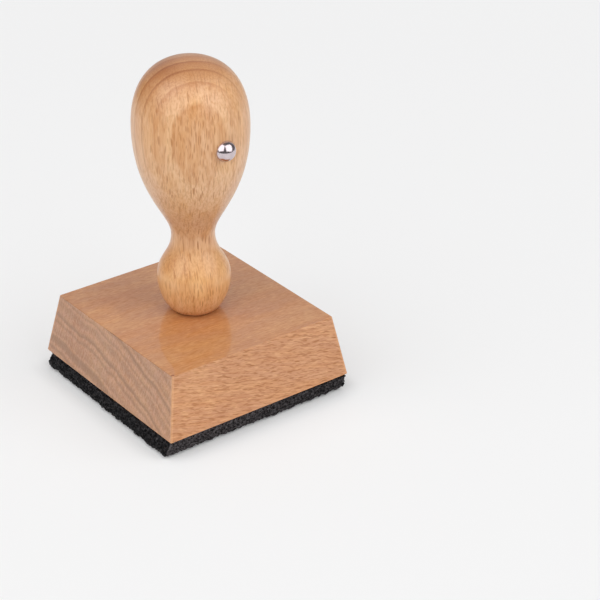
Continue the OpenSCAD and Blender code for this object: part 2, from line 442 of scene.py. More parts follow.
def endFaceLines(tree, coords, facing, look):
    # where the fibres are cut across: dark wavy lines with fine hatching between them
    point = inMillimetres(tree, coords, woodFrame(look["across"], look["along"]))
    rings = useGroup(tree, ringsGroup, {"Vector": point, **look["rings"]})
    hatch = ramp(tree, stretchedNoise(tree, point, look["hatchStretch"], 3.0, 0.6), *look["hatchRange"])
    shown = ramp(tree, facing, *look["facingRange"])
    return [
        (times(tree, rings["Shade"], shown, look["shadeAmount"]), look["shade"]),
        (times(tree, hatch, shown, look["hatchAmount"]), look["hatch"]),
        (times(tree, rings["Line"], shown, look["lineAmount"]), look["shade"]),
    ]


def rubbedAndLitEdges(tree, coords, look):
    # the upright edges are paler, partly rubbed wood and partly a painted highlight where their rounding
    # catches light, and the lower rim carries a painted highlight of the floor's bounce light on its bevel
    parts = split(tree, inMillimetres(tree, coords))
    rise = minus(tree, parts["Z"], look["low"])
    narrowing = times(tree, rise, look["lean"])
    inside = [minus(tree, minus(tree, half, narrowing), calc(tree, "ABSOLUTE", parts[axis]))
              for half, axis in zip(look["half"], "XY")]
    fromCorner = calc(tree, "MAXIMUM", *inside)
    return [
        (ramp(tree, rise, *look["rimRange"], look["amount"], 0.0), look["rimHighlight"]),
        (ramp(tree, fromCorner, *look["edgeRange"], look["amount"], 0.0), look["tint"]),
    ]


def heightTints(tree, height, stops):
    top = stops[-1][0]
    node = put(tree, "ValToRGB", {0: calc(tree, "DIVIDE", height, top)})
    elements = node.color_ramp.elements
    for index, (at, tint) in enumerate(stops):
        stop = elements[index] if index < 2 else elements.new(1.0)
        stop.position = at / top
        stop.color = (*tint, 1)
    return node.outputs["Color"]


grainRange = {  # where each mask starts to show and where it is full
    "cut": (0.05, 0.6), "planed": (0.15, 0.7), "ringSide": (0.25, 0.8), "endFace": (0.3, 0.9),
    "right": (-10.0, 8.0), "broad": (0.35, 0.68), "amber": (0.45, 0.65), "fine": (0.42, 0.72),
    "paleFibre": (0.46, 0.28), "patch": (0.4, 1.0),
}
fleckShift = {"small": (13.7, 5.1, 7.9), "pale": (31.3, 2.2, 17.4)}
smallFleckShare, faintLine, fineRoughness, streakHeight, fleckHeight = 0.7, 0.1, 0.12, 0.35, 0.5
grainDistance, lacquerIor, paleSoft = 0.05 * mm, 1.5, 0.8


def woodMaterial(name, look):
    material, tree, shader = newMaterial(name)
    coords = put(tree, "TexCoord").outputs
    turn = woodFrame(look["across"], look["along"])
    wood = inMillimetres(tree, coords, turn, -(turn @ Vector(look["origin"]) / mm))
    parts = split(tree, wood)
    facing = [calc(tree, "POWER", calc(tree, "ABSOLUTE", vectorCalc(
        tree, "DOT_PRODUCT", coords["Normal"], row, output="Value")), 2.0) for row in turn]

    def band(value, key, *to):
        return ramp(tree, value, *grainRange[key], *to)

    def fleckAt(shift, size, **more):
        point = vectorCalc(tree, "ADD", wood, shift)
        return useGroup(tree, flecksGroup, {"Vector": point, **size, **more})["Fleck"]

    rings = useGroup(tree, ringsGroup, {"Vector": wood, **look["rings"]})
    strokes = useGroup(tree, strokesGroup, {"Vector": wood, **look["strokes"]})
    streaks = useGroup(tree, streaksGroup, {"Vector": wood, **look["streaks"]})

    cut = band(facing[2], "cut")  # rings stand out where the turning cuts across the fibres
    shown = times(tree, ramp(tree, parts["Z"], *look["ringsRange"], look["ringsLow"], 1.0),
                  band(parts["X"], "right", look["ringsRight"], 1.0))
    ringShade = times(tree, rings["Shade"], shown,
                      ramp(tree, cut, 0.0, 1.0, look["shadeAmount"], look["shadeAcross"]))
    ringLine = times(tree, rings["Line"], band(facing[1], "ringSide", 1.0, faintLine),
                     ramp(tree, cut, 0.0, 1.0, look["lineAmount"], look["lineAcross"]), shown)
    fine = band(streaks["Streak"], "fine")
    amber = band(stretchedNoise(tree, wood, look["amberStretch"]), "amber")
    # ray ends are dashes where the cut follows the rings, faint patches where it crosses them
    facingFlecks = [times(tree, face, amount) for face, amount in zip(facing, look["fleckAmount"])]
    fleckShown = calc(tree, "ADD", calc(tree, "ADD", facingFlecks[0], facingFlecks[1]), facingFlecks[2])
    small = times(tree, fleckAt(fleckShift["small"], look["smallFlecks"]), smallFleckShare)
    fleck = times(tree, calc(tree, "MAXIMUM", fleckAt((0, 0, 0), look["flecks"]), small), fleckShown)
    pale = fleckAt(fleckShift["pale"], look["flecks"], Soft=paleSoft)
    planed = band(facing[1], "planed")
    darkStroke = times(tree, strokes["Dark"], planed)

    layers = [
        (ringShade, look["dark"]),
        (times(tree, rings["Tone"], look["toneAmount"]), look["warm"]),
        (times(tree, band(streaks["Broad"], "broad"), look["broadAmount"]), look["pink"]),
        (times(tree, amber, look["amberAmount"]), look["amber"], "MULTIPLY"),
        (times(tree, fine, look["streakAmount"]), look["dark"]),
        (times(tree, band(streaks["Streak"], "paleFibre"), look["paleFibreAmount"]), look["pale"]),
        (ringLine, look["line"]),
        (times(tree, strokes["Light"], planed, look["strokeLight"]), look["pale"]),
        (times(tree, darkStroke, look["strokeDark"]), look["fleck"]),
        (times(tree, pale, fleckShown, look["paleAmount"]), look["pale"]),
        (fleck, look["fleck"]),
        (times(tree, band(facing[2], "endFace"), look["endAmount"]), look["endTint"], "MULTIPLY"),
    ]
    for middle, reach, tint in look["patches"]:
        far = lengthOf(tree, vectorCalc(tree, "DIVIDE", vectorCalc(tree, "SUBTRACT", wood, middle), reach))
        layers.append((band(far, "patch", 1.0, 0.0), tint, "MULTIPLY"))
    if "toneAndShadeByHeight" in look:
        layers.append((1.0, heightTints(tree, parts["Z"], look["toneAndShadeByHeight"]), "MULTIPLY"))
    if "endLines" in look:
        layers += endFaceLines(tree, coords, facing[2], look["endLines"])
    if "edges" in look:
        layers += rubbedAndLitEdges(tree, coords, look["edges"])

    dents = calc(tree, "MULTIPLY_ADD", fleck, fleckHeight, times(tree, darkStroke, look["dentDepth"]))
    height = minus(tree, times(tree, streaks["Streak"], streakHeight), dents)
    setInputs(tree, shader, {
        "Base Color": layColors(tree, look["light"], layers),
        "Roughness": calc(tree, "MULTIPLY_ADD", fine, fineRoughness, look["roughness"]),
        "Normal": bumpNormal(tree, look["bump"], grainDistance, height),
        "Coat Weight": look["coat"], "Coat Roughness": look["coatRoughness"], "Coat IOR": lacquerIor})
    return material


handleLow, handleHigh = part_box("handle")
handleShape = {
    "footRadius": 5.5, "footPull": 2.0, "footAngle": 80.0,
    "ballRadius": 10.2, "ballHeight": 10.2, "ballPull": 0.5, "ballTopPull": 0.42,
    "neckRadius": 6.0, "neckHeight": 23.0, "neckPull": 0.46,
    "gripRadius": 15.9, "gripHeight": 55.0, "flankLowPull": 0.2, "flankHighPull": 0.6,
    "crownSidePull": 0.68, "crownTopPull": 0.6,
    "pilotRadius": 1.37, "pilotDepth": 23.6,
    "curveSteps": 30, "turnSteps": 160,
}


def handleOutline(shape, top):
    # foot, ball, neck, grip and crown, as radius and height above the foot
    angle = math.radians(shape["footAngle"])
    foot, ball = (shape["footRadius"], 0), (shape["ballRadius"], shape["ballHeight"])
    neck, grip = (shape["neckRadius"], shape["neckHeight"]), (shape["gripRadius"], shape["gripHeight"])

    def pulled(point, other, pull):
        return (point[0], point[1] + (other[1] - point[1]) * pull)

    corners = [
        (foot, (foot[0] + shape["footPull"] * math.sin(angle), shape["footPull"] * math.cos(angle)),
         pulled(ball, foot, shape["ballPull"]), ball),
        (ball, pulled(ball, neck, shape["ballTopPull"]), pulled(neck, ball, shape["neckPull"]), neck),
        (neck, pulled(neck, grip, shape["flankLowPull"]), pulled(grip, neck, shape["flankHighPull"]), grip),
        (grip, pulled(grip, (0, top), shape["crownSidePull"]),
         (grip[0] * shape["crownTopPull"], top), (0, top)),
    ]
    outline = []
    for four in corners:
        curve = geometry.interpolate_bezier(*[Vector(c) for c in four], shape["curveSteps"])
        outline += [tuple(p) for p in (curve[1:] if outline else curve)]
    return outline


def spinOutline(bm, points, axisPoint, axis, side, steps):
    # points are (radius, height along the axis), and side is where the radius points at the start
    ring = [bm.verts.new(axisPoint + side * p[0] * mm + axis * p[1] * mm) for p in points]
    edges = [bm.edges.new(pair) for pair in zip(ring[:-1], ring[1:])]
    bmesh.ops.spin(bm, geom=ring + edges, cent=axisPoint, axis=axis, dvec=(0, 0, 0),
                   angle=math.tau, steps=steps, use_merge=True, use_duplicate=False)
    bmesh.ops.remove_doubles(bm, verts=bm.verts, dist=0.002 * mm)
    bmesh.ops.dissolve_degenerate(bm, edges=bm.edges, dist=0.001 * mm)
    faceOutwards(bm)


def makeHandle(shape):
    top = (handleHigh.z - handleLow.z) / mm
    pilot = [(0, shape["pilotDepth"]), (shape["pilotRadius"], shape["pilotDepth"]), (shape["pilotRadius"], 0)]
    bm = bmesh.new()
    spinOutline(bm, pilot + handleOutline(shape, top), Vector((0, 0, handleLow.z)),
                Vector((0, 0, 1)), Vector((1, 0, 0)), shape["turnSteps"])
    return bm


handleWood = {
    "across": wayTo(-26.0, 2.9), "along": (0, 0, 1), "origin": (0, 0, handleLow.z),
    "rings": {"Spacing": 3.6, "Shift": 13.15, "Bow": 0.0014, "Bow Middle": 52.0, "Warp": 0.7,
              "Line": 0.32, "Fade": 1.0, "Soft": 0.14, "Tone Start": -1.9},
    "ringsRange": (36.0, 52.0), "ringsLow": 0.15, "ringsRight": 0.6,
    "shadeAmount": 0.75, "shadeAcross": 1.0, "lineAmount": 0.35, "lineAcross": 0.55,
    "toneAmount": 0.2, "broadAmount": 0.35, "streakAmount": 0.62, "paleFibreAmount": 0.3,
    "amber": (0.96, 0.89, 0.74, 1), "amberAmount": 0.85, "amberStretch": (0.17, 0.17, 0.08),
    "light": srgb(234, 187, 141), "dark": srgb(199, 131, 68), "warm": srgb(204, 139, 80),
    "pink": srgb(220, 170, 134), "line": srgb(160, 88, 36),
    "fleck": srgb(168, 98, 16), "pale": srgb(238, 196, 154),
    "strokes": {"Width": 0.4, "Length": 5.0, "Wander": 0.6}, "strokeDark": 0.2, "strokeLight": 0.2,
    "streaks": {"Width": 0.42, "Length": 8.0},
    "flecks": {"Cell": (1.0, 8.0, 4.0), "Size": (0.23, 4.5, 1.7), "Share": 0.95, "Soft": 0.45},
    "smallFlecks": {"Cell": (0.7, 6.0, 2.8), "Size": (0.15, 3.5, 1.1), "Share": 0.85, "Soft": 0.5},
    "fleckAmount": (0.22, 0.85, 0.1), "paleAmount": 0.4, "dentDepth": 0.1,
    "endAmount": 0.85, "endTint": (0.75, 0.63, 0.53, 1),
    "patches": [  # middle, reach and tint
        ((9.0, 4.0, 68.0), (9.5, 14.0, 12.0), (0.84, 0.74, 0.64, 1)),
        ((8.0, 2.5, 16.5), (5.0, 8.0, 7.5), (0.91, 0.80, 0.66, 1)),
    ],
    # the darker band round the neck, from 21 to 34 millimetres, is partly the wood's own tone and partly
    # painted shade where the taper faces down
    "toneAndShadeByHeight": [  # by height in millimetres above the foot
        (0.0, (1.03, 1.02, 0.97)), (5.0, (1.03, 1.02, 0.93)), (12.0, (1.01, 0.97, 0.78)),
        (21.0, (0.90, 0.86, 0.80)), (28.5, (0.81, 0.77, 0.79)), (34.0, (0.89, 0.90, 0.93)),
        (46.0, (0.97, 1.0, 1.0)), (57.0, (0.98, 0.99, 0.97)), (66.0, (1.0, 0.98, 0.93)),
        (74.0, (0.95, 0.90, 0.85)),
    ],
    "roughness": 0.45, "bump": 0.25, "coat": 0.7, "coatRoughness": 0.3,
}
makePiece("turned_handle", makeHandle(handleShape), woodMaterial("handleBeech", handleWood),
          "mount", ["handle"], 50)


blockLow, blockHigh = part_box("mounting_block")
blockHeight = blockHigh.z - blockLow.z
blockShape = {
    "width": 60.0, "depth": 62.5, "lean": 3.25,
    "ease": 0.5, "topEase": 0.22, "lowEase": 0.45, "easeSegments": 4,
    "holeRadius": 2.15, "seatRadius": 3.95, "seatStart": 0.6, "seatDepth": 2.15, "holeSteps": 48,
    "levelNormal": 0.999, "levelArea": 500,  # square millimetres, more than an eased edge has
}


def easeEdges(bm, edges, ease, segments):
    bmesh.ops.bevel(bm, geom=edges, offset=ease * mm, offset_type="WIDTH", affect="EDGES",
                    segments=segments, profile=0.5, material=-1)


def makeBlock(shape):
    bm = bmesh.new()
    bmesh.ops.create_cube(bm, size=1.0)
    bmesh.ops.scale(bm, vec=(shape["width"] * mm, shape["depth"] * mm, blockHeight), verts=bm.verts)
    for vert in bm.verts:
        if vert.co.z > 0:
            vert.co.x -= math.copysign(shape["lean"] * mm, vert.co.x)
            vert.co.y -= math.copysign(shape["lean"] * mm, vert.co.y)
    bmesh.ops.translate(bm, vec=(0, 0, (blockLow.z + blockHigh.z) / 2), verts=bm.verts)
    upright = [e for e in bm.edges if abs(e.verts[0].co.z - e.verts[1].co.z) > blockHeight / 2]
    easeEdges(bm, upright, shape["ease"], shape["easeSegments"])
    for way, ease in ((1, shape["topEase"]), (-1, shape["lowEase"])):
        bm.normal_update()
        rim = [e for e in bm.edges if any(way * f.normal.z > shape["levelNormal"] for f in e.link_faces)]
        easeEdges(bm, rim, ease, shape["easeSegments"])
    drillBlock(bm, shape)
    faceOutwards(bm)
    return bm


def circleEdges(bm, radius, steps, height=0.0):
    place = Matrix.Translation((0, 0, height))
    ring = set(bmesh.ops.create_circle(bm, segments=steps, radius=radius, matrix=place)["verts"])
    return [e for e in bm.edges if e.verts[0] in ring and e.verts[1] in ring]


def drillBlock(bm, shape):
    # the two level faces are opened, and a seat and bore run between them
    level = [f for f in bm.faces
             if abs(f.normal.z) > shape["levelNormal"] and f.calc_area() > shape["levelArea"] * mm * mm]
    level.sort(key=lambda f: f.calc_center_median().z)
    seatStart = blockLow.z + shape["seatStart"] * mm
    stations = [(shape["seatRadius"], blockLow.z), (shape["seatRadius"], seatStart),
                (shape["holeRadius"], seatStart + shape["seatDepth"] * mm),
                (shape["holeRadius"], blockHigh.z)]
    loops = [circleEdges(bm, radius * mm, shape["holeSteps"], height) for radius, height in stations]
    for low, high in zip(loops[:-1], loops[1:]):
        bmesh.ops.bridge_loops(bm, edges=low + high)
    for face, loop in ((level[0], loops[0]), (level[-1], loops[-1])):
        rim = face.edges[:]
        bmesh.ops.delete(bm, geom=[face], context="FACES_ONLY")
        bmesh.ops.triangle_fill(bm, use_beauty=True, edges=rim + loop)


grainPlan, grainDip, grainTip, endTip = (math.radians(a) for a in (6, 14, 5, 11))
blockWood = {
    "across": (-math.sin(grainPlan), -math.cos(grainPlan), -math.sin(grainTip)),
    "along": (math.cos(grainPlan), -math.sin(grainPlan), -math.tan(grainDip)),  # dipping to the right
    "origin": (0, 0, blockLow.z),
    "rings": {"Spacing": 7.0, "Shift": 2.0, "Curve": 0.002, "Warp": 2.0, "Line": 0.08, "Fade": 1.3,
              "Soft": 0.2, "Tone Start": 0.6},
    "ringsRange": (0.0, 1.0), "ringsLow": 1.0, "ringsRight": 1.0,
    "shadeAmount": 0.5, "shadeAcross": 0.5, "lineAmount": 0.05, "lineAcross": 0.0,
    "toneAmount": 0.35, "broadAmount": 0.6, "streakAmount": 0.75, "paleFibreAmount": 0.45,
    "amber": (1.0, 0.97, 0.86, 1), "amberAmount": 0.6, "amberStretch": (0.2, 0.1, 0.09),
    "light": srgb(203, 145, 95), "dark": srgb(183, 116, 64), "warm": srgb(198, 127, 71),
    "pink": srgb(189, 132, 95), "line": srgb(150, 92, 56),
    "fleck": srgb(156, 88, 10), "pale": srgb(222, 168, 114),
    "strokes": {"Width": 0.3, "Length": 2.3, "Wander": 2.0}, "strokeDark": 0.58, "strokeLight": 0.4,
    "streaks": {"Width": 0.5, "Length": 12.0},
    "flecks": {"Cell": (0.85, 24.0, 2.8), "Size": (0.2, 14.0, 1.3), "Share": 0.95, "Soft": 0.45},
    "smallFlecks": {"Cell": (0.6, 16.0, 2.0), "Size": (0.14, 8.0, 0.8), "Share": 0.9, "Soft": 0.5},
    "fleckAmount": (0.06, 0.85, 0.0), "paleAmount": 0.5, "dentDepth": 0.9,
    "endAmount": 0.9, "endTint": (0.775, 0.818, 0.895, 1),
    "patches": [  # middle, reach and tint
        ((-0.6, -21.5, -32.0), (14.0, 20.0, 8.0), (0.95, 0.89, 0.83, 1)),
        # painted shade on the top behind and left of the handle
        ((12.5, -19.0, -19.0), (8.0, 10.0, 12.0), (0.92, 0.87, 0.85, 1)),
        ((10.3, -9.0, -28.0), (5.0, 9.0, 7.0), (1.08, 1.10, 1.08, 1)),
        ((8.0, 31.0, -22.0), (14.0, 8.0, 13.0), (1.07, 1.09, 1.06, 1)),
        # a small dark spot at the corner
        ((14.3, 28.35, -27.5), (0.6, 0.6, 0.6), (0.50, 0.26, 0.16, 1)),
    ],
    "endLines": {
        "across": (0, -math.sin(endTip), math.cos(endTip)), "along": (1, 0, 0),
        "rings": {"Spacing": 2.7, "Shift": 0.4, "Curve": 0.0032, "Curve Middle": 6.0,
                  "Warp": 3.4, "Line": 0.85, "Fade": 1.4, "Uneven": 2.6, "Soft": 0.06},
        "shade": srgb(124, 80, 38), "shadeAmount": 0.22, "lineAmount": 0.58,
        "hatch": srgb(206, 154, 120), "hatchAmount": 0.55, "hatchStretch": (2.6, 0.35, 0.3),
        "hatchRange": (0.45, 0.7), "facingRange": (0.3, 0.8),
    },
    "edges": {
        "half": (blockShape["width"] / 2, blockShape["depth"] / 2),
        "lean": blockShape["lean"] * mm / blockHeight,
        "low": blockLow.z / mm, "edgeRange": (0.32, 0.8), "rimRange": (0.275, 0.55), "amount": 0.4,
        # the upright edges' tint is partly wear and partly painted highlight, the rim's is painted highlight
        "tint": srgb(222, 168, 120), "rimHighlight": srgb(212, 142, 84),
    },
    "roughness": 0.35, "bump": 0.2, "coat": 0.9, "coatRoughness": 0.03,
}
block = makePiece("bevelled_block", makeBlock(blockShape), woodMaterial("blockBeech", blockWood),
                  "mount", ["mounting_block"], 30)
flatFaces = block.modifiers.new("flat_faces", "WEIGHTED_NORMAL")  # the planed faces mirror like flat ones
flatFaces.keep_sharp = True


def metalMaterial(name, look):
    # plated steel: a faint cloud in colour and gloss, and fine scratches where it is polished
    material, tree, shader = newMaterial(name)
    point = put(tree, "TexCoord").outputs["Object"]
    cloud = noiseValue(tree, point, look["cloudScale"], 3.0, 0.6)
    setInputs(tree, shader, {
        "Metallic": 1.0,
        "Base Color": blendColor(tree, ramp(tree, cloud, *look["colorRange"]), look["color"], look["bright"]),
        "Roughness": ramp(tree, cloud, *look["glossRange"], *look["roughness"])})
    if "scratchStretch" in look:
        scratch = stretchedNoise(tree, point, look["scratchStretch"])
        normal = bumpNormal(tree, look["scratchStrength"], look["scratchDistance"], scratch)
        setInputs(tree, shader, {"Normal": normal})
    return material


nailLow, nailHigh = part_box("front_nail")
nailShape = {
    "headRadius": 2.95, "headHeight": 2.7, "rim": 0.18, "domeSteps": 24, "domeStart": 0.108,
    "shankRadius": 0.9, "length": 12.0, "pointLength": 1.8, "steps": 64,
}
nailLook = {
    "cloudScale": 900.0, "colorRange": (0.35, 0.7),
    # the plating's pink-lilac tint is a painted reflection of the floor and wood round the head
    "color": (0.60, 0.51, 0.54, 1), "bright": (0.69, 0.60, 0.62, 1),
    "glossRange": (0.3, 0.75), "roughness": (0.12, 0.2),
    "scratchStretch": (9000, 1500, 2500), "scratchStrength": 0.06, "scratchDistance": 0.02 * mm,
}
screwLook = {
    "cloudScale": 600.0, "colorRange": (0.3, 0.7),
    "color": (0.50, 0.50, 0.49, 1), "bright": (0.64, 0.64, 0.60, 1),
    "glossRange": (0.3, 0.7), "roughness": (0.28, 0.42),
}


def makeNail(shape):
    # a round head on a pointed shank, driven in from the front
    sphere = (shape["headRadius"] ** 2 + shape["headHeight"] ** 2) / (2 * shape["headHeight"])
    widest = math.acos((sphere - shape["headHeight"]) / sphere)
    outline = [(0, -shape["length"]), (shape["shankRadius"], shape["pointLength"] - shape["length"]),
               (shape["shankRadius"], 0), (shape["headRadius"] - shape["rim"], 0)]
    for step in range(1, shape["domeSteps"] + 1):
        angle = widest * (1 - step / shape["domeSteps"])
        up = shape["headHeight"] - sphere + sphere * math.cos(angle)
        if up > shape["domeStart"]:
            outline.append((sphere * math.sin(angle), up))
    start = Vector((0, nailLow.y + shape["headHeight"] * mm, (nailLow.z + nailHigh.z) / 2))
    bm = bmesh.new()
    spinOutline(bm, outline, start, Vector((0, -1, 0)), Vector((1, 0, 0)), shape["steps"])
    return bm


makePiece("round_nail", makeNail(nailShape), metalMaterial("nickelPlate", nailLook),
          "mount", ["front_nail"], 40)

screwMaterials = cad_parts["handle_screw"].data.materials  # the screw's own solid stays
screwMaterials.clear()
screwMaterials.append(metalMaterial("zincPlate", screwLook))
print("the screw has its zinc finish")


dieLow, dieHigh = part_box("rubber_die")
foamLow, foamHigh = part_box("foam_cushion")
sheetCut = {
    # corners in millimetres: front left, front right, back right, back left
    "low": [(-30.6, -29.2), (29.75, -29.65), (29.7, 31.0), (-29.8, 31.2)],
    "high": [(-29.9, -30.8), (29.1, -31.2), (29.45, 29.8), (-29.9, 29.2)],
    "lowAt": 0.8, "highAt": 5.65,
    "tuck": (0.0, 0.0, 0.2, 0.6), "tuckHeight": 0.9,  # front, right, back, left
    "steps": 1200, "rowHeight": 0.2, "capInsets": (0.9, 8.0, 16.0, 24.0),
    "lumps": 0.34, "lumpSize": 2.2, "crumbs": 0.26, "crumbSize": 0.8,
    "pits": 0.34, "pitSize": 0.8, "pitReach": 0.55,
    "wave": 0.35, "waveSize": 1.0, "waveHeight": 1.0,  # the die's lower edge isn't quite straight
    "cornerShare": 0.012,  # of a side, over which the cut turns round each corner
    "filmSteps": 240, "filmInset": 0.45,
    "travel": 1.2,  # how far the foam gives under a firm press
}
sideAngles = (-90, 0, 90, 180)
crumbShift, waveShift = Vector((7, 3, 1)), Vector((3, 9, 4))


def cutPoint(cut, along, z, inset):
    rise = (z / mm - cut["lowAt"]) / (cut["highAt"] - cut["lowAt"])
    corners = [Vector(low).lerp(Vector(high), rise) for low, high in zip(cut["low"], cut["high"])]
    side = int(along) % 4
    point = corners[side].lerp(corners[(side + 1) % 4], along - int(along))
    middle = sum(corners, Vector((0, 0))) / 4
    half = corners[1] - middle
    shrink = Vector((1 - inset / abs(half.x), 1 - inset / abs(half.y)))
    return middle + shrink * (point - middle)


def outFrom(cut, along):
    # outwards, turned smoothly round each corner
    side, share, corner = int(along) % 4, along - int(along), cut["cornerShare"]
    angle = sideAngles[side]
    if share < corner:
        angle -= 45 * (1 - share / corner)
    elif share > 1 - corner:
        angle += 45 * (share - 1 + corner) / corner
    return Vector((math.cos(math.radians(angle)), math.sin(math.radians(angle)), 0))


def raggedCut(cut, point):
    # how far the cut rubber stands out: lumps and crumbs, less the open pits
    point = point / mm
    lump = noise.noise(point / cut["lumpSize"]) * cut["lumps"]
    crumb = noise.noise(point / cut["crumbSize"] + crumbShift) * cut["crumbs"]
    near = noise.voronoi(point / cut["pitSize"])[0][0]
    return lump + crumb - max(0.0, 1 - (near / cut["pitReach"]) ** 2) * cut["pits"]


def makeSheet(cut, low, high, steps, ragged=True, wave=0.0, inset=0.0):
    # rings go from the middle of the lower face out, up the side and in again
    rows = max(2, round((high - low) / mm / cut["rowHeight"]) + 1) if ragged else 2
    levels = [(low, inset + step, False) for step in reversed(cut["capInsets"])]
    levels += [(low + (high - low) * i / (rows - 1), inset, ragged) for i in range(rows)]
    levels += [(high, inset + step, False) for step in cut["capInsets"]]
    bm = bmesh.new()
    alongLayer = bm.verts.layers.float.new("along")
    firstRing = verts = bmesh.ops.create_circle(bm, segments=steps, radius=1.0)["verts"]
    for i, vert in enumerate(verts):
        vert[alongLayer] = i * 4 / steps
    edges = bm.edges[:]
    for index, (z, rim, rough) in enumerate(levels):
        if index:
            grown = bmesh.ops.extrude_edge_only(bm, edges=edges)["geom"]
            verts = [g for g in grown if isinstance(g, bmesh.types.BMVert)]
            edges = [g for g in grown if isinstance(g, bmesh.types.BMEdge)]
        for vert in verts:
            along = vert[alongLayer]
            place = (cutPoint(cut, along, z, rim) * mm).to_3d()
            place.z = z
            if rough:
                nearTop = max(0.0, 1 - (cut["highAt"] * mm - z) / (cut["tuckHeight"] * mm))
                nearLow = max(0.0, 1 - (z - low) / (cut["waveHeight"] * mm))
                out = raggedCut(cut, place) - cut["tuck"][int(along) % 4] * nearTop ** 2
                place += outFrom(cut, along) * out * mm
                swing = noise.noise(Vector((place.x, place.y, 0)) / mm / cut["waveSize"] + waveShift)
                place.z += swing * wave * mm * nearLow
            vert.co = place
    for ring in (firstRing, verts):
        middle = sum((v.co for v in ring), Vector()) / len(ring)
        bmesh.ops.pointmerge(bm, verts=ring, merge_co=middle)
    faceOutwards(bm)
    return bm


def spongeCells():
    # open cells of sponge rubber: dark hollows for painted shade and lighter walls for painted glints
    tree, given, result = newGroup("spongeCells", {
        "Vector": (0, 0, 0), "Cell": 0.5}, ("Hollow", "Wall", "Dust"))
    smallScale, smallShare, dustScale = 2.3, 0.5, 0.35
    hollowRange, wallRange, dustRange = (0.15, 0.5), (0.65, 1.1), (0.52, 0.75)
    finer = calc(tree, "DIVIDE", 1.0, given["Cell"])
    scaled = vectorCalc(tree, "MULTIPLY", given["Vector"], joined(tree, finer, finer, finer))
    near, small = [put(tree, "TexVoronoi", {"Vector": scaled, "Scale": scale}).outputs["Distance"]
                   for scale in (1.0, smallScale)]
    wall = calc(tree, "ADD", near, times(tree, small, smallShare))
    setInputs(tree, result, {
        "Hollow": ramp(tree, near, *hollowRange, 1.0, 0.0), "Wall": ramp(tree, wall, *wallRange),
        "Dust": ramp(tree, noiseValue(tree, scaled, dustScale, 4.0, 0.6), *dustRange)})
    return tree


spongeGroup = spongeCells()
foamLook = {
    "cell": 0.66, "roughness": 0.7, "wallGloss": 0.2, "bump": 1.0, "bumpDistance": 0.2 * mm, "gloss": 0.12,
    # the hollows' colour is painted shade and the walls' colour is painted glints
    "color": (0.002, 0.002, 0.003, 1), "hollowShade": (0.001, 0.001, 0.001, 1), "hollowAmount": 0.95,
    "wall": (0.105, 0.097, 0.101, 1), "wallAmount": 0.85, "sideGlintShare": 0.3, "wallHeight": 0.5,
    "dust": (0.024, 0.022, 0.024, 1), "dustAmount": 0.3,
    # the side facing the front gets a painted sheen, less so to the right and in patches, and the walls'
    # painted glints show fully only there
    "frontSheenColor": (0.046, 0.038, 0.040, 1), "frontSheenFacing": (-0.75, -0.3), "frontSheenWidth": (-18.0, 22.0),
    "rightShare": 0.45, "patchScale": 0.16, "patchRange": (0.38, 0.6), "patchShare": 0.8,
    # underneath the rubber is moulded: smooth where it prints, matt and dusty between
    "mouldedHalf": (28.3, 28.8), "mouldedEdge": 0.3, "mouldedFacing": (-0.4, -0.8),
    "mouldedHeight": (0.75, 0.65),
    "printHeight": (0.3, 0.1), "printFace": (0.016, 0.016, 0.018, 1), "printRoughness": 0.42,
    "ground": (0.030, 0.029, 0.029, 1), "groundDust": (0.055, 0.053, 0.050, 1), "groundScale": 2.2,
    "groundRange": (0.35, 0.7), "groundHeight": 0.15, "printFaceHeight": 0.03,
}
rubberLook = dict(foamLook, cell=0.6, roughness=0.6, bump=0.8)
filmLook = dict(foamLook, cell=0.8, color=(0.012, 0.011, 0.011, 1),
                wallAmount=0.1, hollowAmount=0.3, bump=0.1)


